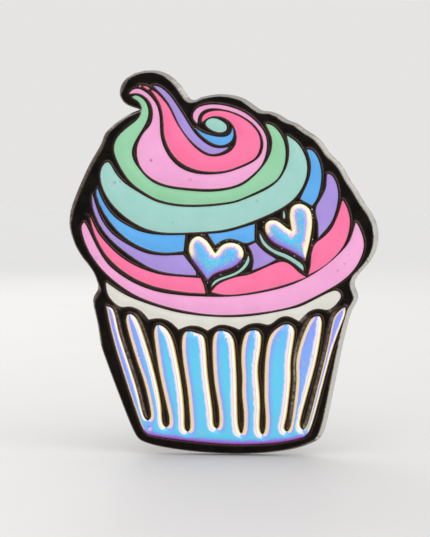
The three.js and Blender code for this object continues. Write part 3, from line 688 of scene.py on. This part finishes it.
def spotted(shader, colour, spots):
    """colour with soft round marks, each (x, z, radius, strength, mark colour)."""
    flat = shader.node("VectorMath", {0: shader.place["Object"], 1: (1, 0, 1)}, operation="MULTIPLY")
    for x, z, radius, strength, mark in spots:
        away = shader.node(
            "VectorMath", {0: flat.outputs[0], 1: (x * MM, 0, z * MM)}, operation="DISTANCE"
        )
        share = shader.span(
            away.outputs["Value"], 0.3 * radius * MM, radius * MM, strength, 0.0, smooth=True
        )
        colour = shader.mix(share, colour, mark)
    return colour


BROWN = linear(140, 110, 85)
GREY = linear(95, 105, 110)
# Stains and pits in the enamel: x, z, radius, strength and colour.
MARKS = {
    "pale_pink": [
        (-8.9, 13.5, 0.28, 0.75, BROWN), (-3.8, 11.0, 0.35, 0.3, BROWN),
        (15.4, -0.8, 0.25, 0.35, BROWN), (16.3, 0.1, 0.22, 0.35, BROWN),
        (-16.2, 0.7, 0.45, 0.6, linear(190, 160, 215)),
    ],
    "aqua": [
        (-13.7, 10.6, 0.35, 0.4, BROWN), (-13.0, 10.7, 0.18, 0.6, linear(70, 120, 190)),
        (4.9, 8.2, 0.35, 0.25, BROWN), (-6.1, 5.4, 0.2, 0.3, GREY),
    ],
}


def enamel(slot, colour, deep):
    """Opaque satin enamel with slight clouding, orange peel and a few pits. The cream is wrinkled."""
    s = Shader(slot + "_enamel", coat_weight=0.25, coat_roughness=0.12)
    cloud = s.span(s.noise(3.5, 3), 0.35, 0.68, 0.0, 0.6)
    tone = s.mix(cloud, colour, deep)
    grain = s.span(s.noise(0.14, 1), 0.35, 0.65, 0.0, 0.12)
    tone = s.mix(grain, tone, deep)
    tone = s.mix(s.specks(2.4, 0.12, 0.045, 0.25), tone, BROWN)
    tone = spotted(s, tone, MARKS.get(slot, []))
    peel = s.bump(s.noise(0.5, 2), 0.006)
    if slot == "cream":
        peel = s.bump(s.noise(0.7, 3, 0.6, stretch=(0.5, 1, 1.6)), 0.03, 1.0, peel)
    rough = s.span(s.noise(0.9, 3), 0.3, 0.7, 0.3, 0.42)
    return s.finish(base_color=tone, roughness=rough, normal=peel)


def black_metal():
    """Dyed black metal with a painted highlight along its bevel and lines, fine scratches and a
    sand-struck back.
    """
    s = Shader("black_dyed_metal", metallic=1.0)
    # The painted highlight comes in patches, strongest where the edge faces up and right, towards the
    # light.
    patch = s.span(s.noise(0.45, 4, 0.6), 0.3, 0.7, 0.55, 1.15)
    wear_and_highlight = s.math("MULTIPLY", s.attribute("wear_and_highlight"), patch)
    lean = s.math("MULTIPLY_ADD", s.facing["X"], 0.75, s.math("MULTIPLY", s.facing["Z"], 0.66))
    wear_and_highlight = s.math("MULTIPLY", wear_and_highlight, s.span(lean, -0.1, 0.3, 0.3, 1.0))
    # A faint painted highlight turns the black dye brown. A strong one paints pale bare metal, duller
    # where it faces up.
    dye = s.mix(s.span(s.noise(1.6, 3), 0.4, 0.65), linear(24, 22, 20), linear(33, 29, 26))
    faint_highlight = s.mix(s.span(wear_and_highlight, 0.0, 0.35), dye, linear(90, 73, 65))
    strong_highlight = s.mix(s.span(s.facing["Z"], -0.1, 0.25), linear(209, 207, 199), linear(140, 137, 131))
    base = s.mix(s.span(wear_and_highlight, 0.3, 0.95), faint_highlight, strong_highlight)
    # Painted glints: white dots in clusters round the hearts.
    cluster = s.span(s.noise(1.4, 1), 0.45, 0.6)
    grain = s.math("MULTIPLY", s.specks(0.4, 0.5, 0.24, 0.9), s.attribute("painted_glints"))
    base = s.mix(s.math("MULTIPLY", grain, cluster), base, linear(225, 228, 235))
    back = s.span(s.facing["Y"], 0.5, 0.9)
    base = s.mix(back, base, linear(66, 62, 58))
    hair = s.noise(0.12, 2, 0.6, stretch=(1, 1, 0.12))
    scratched = s.bump(hair, 0.003)
    struck = s.bump(s.noise(0.16, 2, 0.7), 0.05, back, scratched)
    rough = s.span(s.noise(0.7, 4), 0.3, 0.7, 0.2, 0.3)
    return s.finish(base_color=base, roughness=rough, normal=struck)


# Colours of the foil by the x of its normal: sides that face left, the middle, sides that face right.
# The yellow, cream and white on the sides are painted highlights.
SIDE_HIGHLIGHT_STOPS = (
    (-0.9, (240, 208, 150)), (-0.7, (255, 238, 160)), (-0.58, (255, 240, 180)),
    (-0.5, (255, 222, 190)), (-0.32, (255, 212, 205)), (-0.27, (225, 195, 235)),
    (-0.22, (132, 160, 250)), (0.09, (110, 195, 250)), (0.13, (200, 205, 250)),
    (0.18, (255, 236, 240)), (0.25, (250, 224, 222)), (0.29, (215, 190, 195)),
    (0.34, (255, 250, 240)), (0.52, (255, 255, 246)), (0.62, (255, 246, 180)),
    (0.78, (222, 188, 110)),
)
# Colours by steepness: round the top of a heart, where the cream and white are a painted highlight,
# and on slopes that face down, where the foil's violet darkens as painted shade.
RIM_HIGHLIGHT_STOPS = (
    (0.12, (100, 185, 246)), (0.17, (155, 165, 245)), (0.21, (225, 190, 230)),
    (0.25, (255, 215, 200)), (0.3, (255, 236, 205)), (0.4, (255, 252, 235)),
    (0.66, (255, 248, 190)), (0.8, (250, 222, 110)), (0.92, (190, 150, 60)),
)
HEART_UNDER_SHADE = (
    (0.08, (84, 196, 240)), (0.2, (104, 172, 246)), (0.34, (138, 145, 240)),
    (0.5, (160, 125, 226)), (0.64, (190, 88, 190)), (0.8, (140, 80, 190)),
)
WRAPPER_UNDER_SHADE = (
    (0.06, (100, 200, 243)), (0.2, (125, 165, 245)), (0.36, (145, 120, 235)),
    (0.55, (190, 70, 200)), (0.8, (120, 35, 130)),
)
# Size of a speck's cell, share of cells with one, its reach in the cell and its strength.
WRAPPER_SPECKS = (1.1, 0.06, 0.3, 0.45)
HEART_SPECKS = (0.5, 0.75, 0.3, 0.75)


def signed_ramp(shader, value, stops):
    """A colour ramp whose stops may lie anywhere from -1 to 1."""
    placed_stops = [((at + 1) / 2, linear(*colour)) for at, colour in stops]
    return shader.ramp(shader.span(value, -1, 1), placed_stops)


def foil(name, middle, under_shade_stops, rim_all_round, specks):
    """Clear-coated iridescent foil. Its colour turns with the way each spot of the surface faces, with
    painted highlights on the rounded sides and painted shade on sides that face down.
    """
    s = Shader(name, coat_weight=1.0, coat_roughness=0.04)
    steep = s.math("SQRT", s.math("SUBTRACT", 1, s.math("POWER", s.facing["Y"], 2)))
    up = s.math("DIVIDE", s.facing["Z"], s.math("MAXIMUM", steep, 0.001))
    ripple = s.span(s.noise(0.9, 3), 0.3, 0.7, -0.018, 0.018)
    lean = s.math("ADD", s.facing["X"], ripple)
    steepness = s.math("MULTIPLY", s.math("ADD", steep, ripple), s.span(up, 0.2, 1.0, 1.0, 0.72))
    centre = middle(s)
    # The ramps below paint highlights on the rounded sides.
    if rim_all_round:
        tint = signed_ramp(s, steepness, RIM_HIGHLIGHT_STOPS)
        flat = s.span(steepness, 0.08, 0.15, 1.0, 0.0)
    else:
        tint = signed_ramp(s, lean, SIDE_HIGHLIGHT_STOPS)
        flat = s.span(s.math("ABSOLUTE", s.math("ADD", lean, 0.06)), 0.14, 0.19, 1.0, 0.0)
    tint = s.mix(flat, tint, centre)
    # Sides that face down have colours of their own: the foil's violet, darkened as painted shade.
    below = s.span(up, -0.3, -0.6, smooth=True)
    under = s.mix(s.span(steepness, 0.06, 0.16), centre, signed_ramp(s, steepness, under_shade_stops))
    tint = s.mix(below, tint, under)
    # Handling marks show on the flatter parts.
    speck = s.math("MULTIPLY", s.specks(*specks), s.span(steepness, 0.22, 0.32, 1.0, 0.15))
    tint = s.mix(speck, tint, linear(190, 172, 160))
    return s.finish(base_color=tint, roughness=0.2, normal=s.bump(s.noise(0.6, 2), 0.004))


def wrapper_middle(s):
    """Cyan low down, bluer at the tops, violet towards both sides, with faint upright streaks."""
    high = s.span(s.spot["Z"], -15 * MM, -1 * MM, smooth=True)
    tint = s.mix(high, linear(76, 208, 240), linear(76, 164, 252))
    left_lean = s.span(s.facing["X"], -0.16, 0.0, 0.8, 0.0, smooth=True)
    tint = s.mix(left_lean, tint, linear(125, 160, 250))
    side = s.span(s.math("ABSOLUTE", s.spot["X"]), 7 * MM, 14 * MM, smooth=True)
    side = s.math("MULTIPLY", side, s.span(s.spot["Z"], -21 * MM, -18 * MM))
    tint = s.mix(side, tint, linear(138, 142, 252))
    streak = s.span(s.noise(0.45, 3, 0.6, stretch=(1, 1, 0.1)), 0.35, 0.65, 0.0, 0.3)
    return s.mix(streak, tint, linear(115, 190, 248))


def heart_middle(s):
    """Blue, clouded with cyan."""
    cloud = s.span(s.noise(1.6, 2), 0.35, 0.65)
    return s.mix(cloud, linear(68, 206, 240), linear(82, 184, 246))


def plated(name, colour, wear_and_highlight, rough):
    """Bright plated metal with a drawn grain, handling marks and a little tarnish."""
    s = Shader(name, metallic=1.0)
    tarnish = s.span(s.noise(2.2, 4), 0.42, 0.72)
    base = s.mix(tarnish, colour, wear_and_highlight)
    grain = s.noise(0.1, 2, 0.6, stretch=(1, 0.08, 1))
    marks = s.noise(0.5, 5, 0.65)
    normal = s.bump(grain, 0.004, 1.0, s.bump(marks, 0.012))
    roughness = s.span(marks, 0.3, 0.7, rough - 0.06, rough + 0.08)
    return s.finish(base_color=base, roughness=roughness, normal=normal)


def make_materials():
    pastel = {
        "mint": ((150, 211, 168), (134, 200, 152)),
        "pale_pink": ((246, 170, 216), (236, 154, 204)),
        "rose": ((255, 118, 166), (250, 102, 150)),
        "lilac": ((172, 146, 222), (158, 130, 212)),
        "sky": ((92, 176, 240), (74, 160, 232)),
        "aqua": ((162, 212, 202), (148, 202, 190)),
        "cream": ((226, 223, 213), (212, 208, 196)),
    }
    made = {slot: enamel(slot, linear(*a), linear(*b)) for slot, (a, b) in pastel.items()}
    made["plate"] = black_metal()
    made["foil"] = foil("wrapper_foil", wrapper_middle, WRAPPER_UNDER_SHADE, False, WRAPPER_SPECKS)
    made["heart_foil"] = foil("heart_foil", heart_middle, HEART_UNDER_SHADE, True, HEART_SPECKS)
    made["nickel"] = plated("nickel_plate", linear(206, 203, 196), linear(170, 162, 148), 0.24)
    made["brass"] = plated("brass_wire", linear(214, 176, 100), linear(160, 122, 66), 0.28)
    return made


# ---- posts and clutches ----------------------------------------------------------------------------
TURNED_CORNER = 40  # degrees between faces, above which an edge on these pieces is sharp


def rounded(profile):
    """A closed profile of (radius, y, fillet) points with its corners turned into arcs."""
    n = len(profile)
    out = []
    for i, (r, y, fillet) in enumerate(profile):
        here = np.array((r, y), float)
        before = np.array(profile[i - 1][:2], float) - here
        after = np.array(profile[(i + 1) % n][:2], float) - here
        if fillet <= 0:
            out.append(here)
            continue
        a, b = np.linalg.norm(before), np.linalg.norm(after)
        half = math.acos(np.clip(before @ after / (a * b), -1, 1)) / 2
        cut = min(fillet / math.tan(half), 0.49 * a, 0.49 * b)
        start, end = here + before / a * cut, here + after / b * cut
        for t in np.linspace(0, 1, 6):
            out.append((1 - t) ** 2 * start + 2 * t * (1 - t) * here + t * t * end)
    return np.array(out)


def skin(rings, around, closed):
    """Faces between rings of `around` points, which close in a loop or are capped at both ends."""
    faces = []
    for k in range(rings if closed else rings - 1):
        one, two = k * around, (k + 1) % rings * around
        for i in range(around):
            j = (i + 1) % around
            faces.append([one + i, two + i, two + j, one + j])
    if not closed:
        faces.append(list(range(around)))
        faces.append(list(range((rings - 1) * around, rings * around)))
    return faces


def swept(profile, angles):
    """Copies of a profile of (radius, y) points at these angles about the y axis."""
    return np.array([(r * math.cos(a), y, r * math.sin(a)) for a in angles for r, y in profile])


def turned(profile, segments):
    """Points and faces of a closed profile turned about the y axis."""
    angles = [2 * math.pi * k / segments for k in range(segments)]
    return swept(profile, angles), skin(segments, len(profile), closed=True)


def welded(obj):
    """Merges points in one place, such as a turned profile's on its axis, and turns faces outwards."""
    shape = bmesh.new()
    shape.from_mesh(obj.data)
    bmesh.ops.remove_doubles(shape, verts=shape.verts, dist=1e-7)
    bmesh.ops.dissolve_degenerate(shape, edges=shape.edges, dist=1e-7)
    bmesh.ops.recalc_face_normals(shape, faces=shape.faces)
    shape.to_mesh(obj.data)
    shape.free()
    obj.data.set_sharp_from_angle(angle=math.radians(TURNED_CORNER))
    return obj


def placed(points, origin):
    return np.asarray(points) + np.array(origin)


def make_post(node, materials):
    """A pointed post with a groove for the clutch, on a flat foot set in the plate's back."""
    low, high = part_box(node)
    origin = (0, 0, (low.z + high.z) / 2 / MM)
    length = high.y / MM
    radius, foot = 0.6, 1.6
    groove = 0.72 * radius
    profile = rounded([
        (0, -0.4, 0), (foot, -0.4, 0), (foot, 0.02, 0.05), (1.05, 0.07, 0.2),
        (radius + 0.12, 0.1, 0.05), (radius, 0.4, 0.1), (radius, length - 2.2, 0.08),
        (groove, length - 2.0, 0.1), (groove, length - 1.7, 0.1),
        (radius, length - 1.5, 0.1), (0.55 * radius, length - 0.5, 0.2), (0.08, length, 0.05),
        (0, length, 0),
    ])
    points, faces = turned(profile, 48)
    obj = make_object(node + "_turned", placed(points, origin), faces, materials["nickel"])
    stand_in(welded(obj), node)


def clutch_origin(place):
    """The middle of a clutch's underside."""
    low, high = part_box(place + "_clutch_base")
    return np.array((0, low.y / MM, (low.z + high.z) / 2 / MM))


def make_base(place, materials):
    """A disc with a pressed ring and a rolled rim."""
    r = 5.75
    profile = rounded([
        (0.75, 0, 0.04), (3.1, 0, 0.1), (3.35, 0.08, 0.1), (4.2, 0.08, 0.1), (4.45, 0, 0.1),
        (r - 0.5, 0, 0.3), (r - 0.12, 0.12, 0.2), (r, 0.5, 0.25), (r - 0.12, 0.86, 0.2),
        (r - 0.4, 0.95, 0.12), (r - 0.58, 0.72, 0.1), (r - 0.7, 0.5, 0.12), (4.45, 0.5, 0.1),
        (4.2, 0.58, 0.1), (3.35, 0.58, 0.1), (3.1, 0.5, 0.1), (0.75, 0.5, 0.04),
    ])
    points, faces = turned(profile, 96)
    name = place + "_clutch_disc"
    obj = make_object(name, placed(points, clutch_origin(place)), faces, materials["nickel"])
    stand_in(welded(obj), place + "_clutch_base")


def make_grip(place, materials):
    """A split ring of rounded section."""
    inner, outer = 0.64, 1.35
    low, high = 0.58, 1.68
    gap = 0.24  # half the angle of the split
    section = rounded([
        (inner, low, 0.15), (outer, low, 0.2), (outer, high, 0.2), (inner, high, 0.15)
    ])
    steps = 48
    points = swept(section, np.linspace(gap, 2 * math.pi - gap, steps))
    faces = skin(steps, len(section), closed=False)
    name = place + "_clutch_spring"
    obj = make_object(name, placed(points, clutch_origin(place)), faces, materials["brass"])
    stand_in(welded(obj), place + "_clutch_grip")


def cut_slots(obj, origin, material):
    """Cuts the two slots that the wings come through."""
    corners = [(x, y, z) for x in (-3.3, 3.3) for y in (0.85, 1.95) for z in (-1.85, 1.85)]
    sides = [(0, 1, 3, 2), (4, 6, 7, 5), (0, 4, 5, 1), (2, 3, 7, 6), (0, 2, 6, 4), (1, 5, 7, 3)]
    slot = make_object("slot_cutter", placed(corners, origin), sides, material)
    cut = obj.modifiers.new("slots", "BOOLEAN")
    cut.object = slot
    cut.operation = "DIFFERENCE"
    bpy.context.view_layer.update()
    shown = obj.evaluated_get(bpy.context.evaluated_depsgraph_get())
    shaped = bpy.data.meshes.new_from_object(shown)
    obj.modifiers.clear()
    obj.data = shaped
    shaped.set_sharp_from_angle(angle=math.radians(TURNED_CORNER))
    bpy.data.objects.remove(slot)


def make_dome(place, materials):
    """A drawn cup, its crown pressed in round the post's hole, with a slot cut each side."""
    r, wall, top, foot = 2.8, 0.35, 2.7, 0.55
    inner = r - wall
    profile = rounded([
        (inner, foot, 0.05), (r, foot, 0.08), (r, 1.95, 0.2), (r - 0.25, 2.4, 0.4),
        (r - 0.8, top, 0.4), (1.5, top, 0.2), (1.1, top - 0.12, 0.2), (0.75, top - 0.12, 0.06),
        (0.75, top - wall, 0.05), (inner - 0.5, top - wall, 0.2), (inner, 2.05, 0.3),
    ])
    points, faces = turned(profile, 96)
    name = place + "_clutch_cap"
    origin = clutch_origin(place)
    obj = welded(make_object(name, placed(points, origin), faces, materials["nickel"]))
    cut_slots(obj, origin, materials["nickel"])
    stand_in(obj, place + "_clutch_dome")


def wing_line(count):
    """The strip's middle line: level in the dome's slot, then away from the plate and outwards."""
    knots = np.array([
        (1.7, 1.35), (2.6, 1.35), (3.5, 1.6), (4.35, 2.5), (4.75, 3.8), (5.2, 5.0), (6.0, 5.7)
    ])
    ends = np.concatenate([[2 * knots[0] - knots[1]], knots, [2 * knots[-1] - knots[-2]]])
    line = []
    for i in range(len(knots) - 1):
        p0, p1, p2, p3 = ends[i:i + 4]
        for t in np.linspace(0, 1, count, endpoint=False):
            line.append(0.5 * (
                2 * p1 + (p2 - p0) * t + (2 * p0 - 5 * p1 + 4 * p2 - p3) * t**2
                + (3 * p1 - p0 - 3 * p2 + p3) * t**3
            ))
    line.append(knots[-1])
    return np.array(line)


def make_wing(place, side, materials):
    """A bent strip with rounded edges, a broad ear and a shallow thumb hollow."""
    line = wing_line(12)
    along = np.gradient(line, axis=0)
    along /= np.linalg.norm(along, axis=1)[:, None]
    normal = np.column_stack([-along[:, 1], along[:, 0]])
    run = np.concatenate([[0], np.cumsum(np.linalg.norm(np.diff(line, axis=0), axis=1))])
    length = run[-1]
    thick, around = 0.4, 40
    stem, flare = 1.55, 1.5  # half the strip's width at the slot, and what the ear adds
    tip_length = 1.6
    angle = np.linspace(0, 2 * math.pi, around, endpoint=False)
    across = np.sign(np.cos(angle)) * np.abs(np.cos(angle)) ** 0.25
    through = np.sign(np.sin(angle)) * np.abs(np.sin(angle)) ** 0.45
    points = []
    for p, n, s in zip(line, normal, run):
        ear = stem + flare * float(smoothstep(s, 1.3, 3.0))
        tip = math.sqrt(max(0.0, 1 - max(0.0, (s - length + tip_length) / tip_length) ** 2.6))
        half = max(0.02, ear * tip)
        z = half * across
        hollow = 0.09 * np.exp(-(((s - 0.72 * length) / 1.1) ** 2) - (z / 1.5) ** 2)
        lift = thick / 2 * through * min(1.0, 0.4 + half) - hollow
        points += [(p[0] + n[0] * h, p[1] + n[1] * h, w) for h, w in zip(lift, z)]
    faces = skin(len(line), around, closed=False)
    points = np.array(points)
    if side == "left":
        points[:, 0] *= -1
    name = f"{place}_clutch_ear_{side}"
    obj = make_object(name, placed(points, clutch_origin(place)), faces, materials["nickel"])
    stand_in(welded(obj), f"{place}_clutch_wing_{side}")


def build_back(materials):
    """Both posts, each with its clutch."""
    for node in POSTS:
        make_post(node, materials)
    for place in ("upper", "lower"):
        make_base(place, materials)
        make_grip(place, materials)
        make_dome(place, materials)
        for side in ("right", "left"):
            make_wing(place, side, materials)


# ---- stage, light and camera -----------------------------------------------------------------------
FRAME_MM = 70.3  # height of the picture at the pin
LENS = 100.0
CAMERA_TURN = 4.0  # degrees round to the right
CAMERA_RISE = 3.0
CAMERA_AIM = (-1.05, 0, -0.75)  # from the plate's middle
FLOOR_GAP = 0.2
FLOOR_RADIUS = 3000


def aimed(obj, target):
    """Turns a light or camera towards a point."""
    obj.rotation_euler = (Vector(target) - obj.location).to_track_quat("-Z", "Y").to_euler()


def make_camera():
    """A long lens, a little to the right of the pin and above it."""
    data = bpy.data.cameras.new("camera")
    data.lens = LENS
    camera = bpy.data.objects.new("camera", data)
    bpy.context.scene.collection.objects.link(camera)
    distance = FRAME_MM * MM * data.lens / data.sensor_width
    turn, rise = math.radians(CAMERA_TURN), math.radians(CAMERA_RISE)
    back = Vector((
        math.sin(turn) * math.cos(rise), -math.cos(turn) * math.cos(rise), math.sin(rise)
    ))
    plate_low, plate_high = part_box("plate")
    target = (plate_low + plate_high) / 2 + Vector(CAMERA_AIM) * MM
    camera.location = target + back * distance
    aimed(camera, target)
    bpy.context.scene.camera = camera


def area_light(name, place, size, power, colour=(1, 1, 1)):
    """A rectangular light aimed at the pin. Its place and size are in metres."""
    data = bpy.data.lights.new(name, "AREA")
    data.shape = "RECTANGLE"
    data.size, data.size_y = size
    data.energy = power
    data.color = colour
    light = bpy.data.objects.new(name, data)
    light.location = place
    bpy.context.scene.collection.objects.link(light)
    aimed(light, (0, 0, 0))


def make_stage():
    """A round pale floor, and two soft lights that model the pin and part it from the backdrop."""
    low, _ = CAD_BOX
    data = bpy.data.meshes.new("floor")
    radius, sides = FLOOR_RADIUS * MM, 64
    ring = [
        (radius * math.cos(a), radius * math.sin(a), low.z - FLOOR_GAP * MM)
        for a in np.linspace(0, 2 * math.pi, sides, endpoint=False)
    ]
    data.from_pydata(ring, [], [list(range(sides))])
    floor = bpy.data.objects.new("floor", data)
    bpy.context.scene.collection.objects.link(floor)
    s = Shader("pale_floor", roughness=0.6)
    tone = s.mix(s.span(s.noise(30, 3), 0.3, 0.7), linear(206, 204, 201), linear(204, 202, 199))
    data.materials.append(s.finish(base_color=tone))
    bpy.context.scene.view_settings.view_transform = "Standard"
    area_light("key", (0.24, -0.14, 0.2), (0.16, 0.16), 0.1, (1, 0.97, 0.92))
    area_light("back", (-0.15, 0.3, 0.2), (0.2, 0.2), 0.2)


ROOM_LIGHT = 0.08
# The way to the middle of each broad soft light, and its power: upper right, left and behind.
SOFTBOXES = (((0.55, -0.5, 0.67), 1.34), ((-0.85, -0.42, 0.3), 0.72), ((-0.35, 0.8, 0.5), 1.0))


def make_world():
    """A dim room with broad soft lights. The camera sees a plain pale backdrop in its place."""
    world = bpy.data.worlds.new("studio")
    world.use_nodes = True
    n = Nodes(world.node_tree)
    way = n.node("TexCoord").outputs["Generated"]
    light = ROOM_LIGHT
    for towards, power in SOFTBOXES:
        aim = tuple(Vector(towards).normalized())
        near = n.node("VectorMath", {0: way, 1: aim}, operation="DOT_PRODUCT").outputs["Value"]
        light = n.math("ADD", light, n.span(near, 0.3, 0.85, 0.0, power, smooth=True))
    seen = n.node("LightPath").outputs["Is Camera Ray"]
    room = n.node("Background", {"Color": (0.97, 0.98, 1, 1), "Strength": light})
    backdrop = n.node("Background", {"Color": linear(229, 228, 227), "Strength": 1.0})
    shown = n.node("MixShader", {0: seen, 1: room.outputs[0], 2: backdrop.outputs[0]})
    n.tree.links.new(shown.outputs[0], n.tree.nodes["World Output"].inputs["Surface"])
    bpy.context.scene.world = world


materials = make_materials()
build_face(materials)
build_back(materials)
make_stage()
make_world()
make_camera()
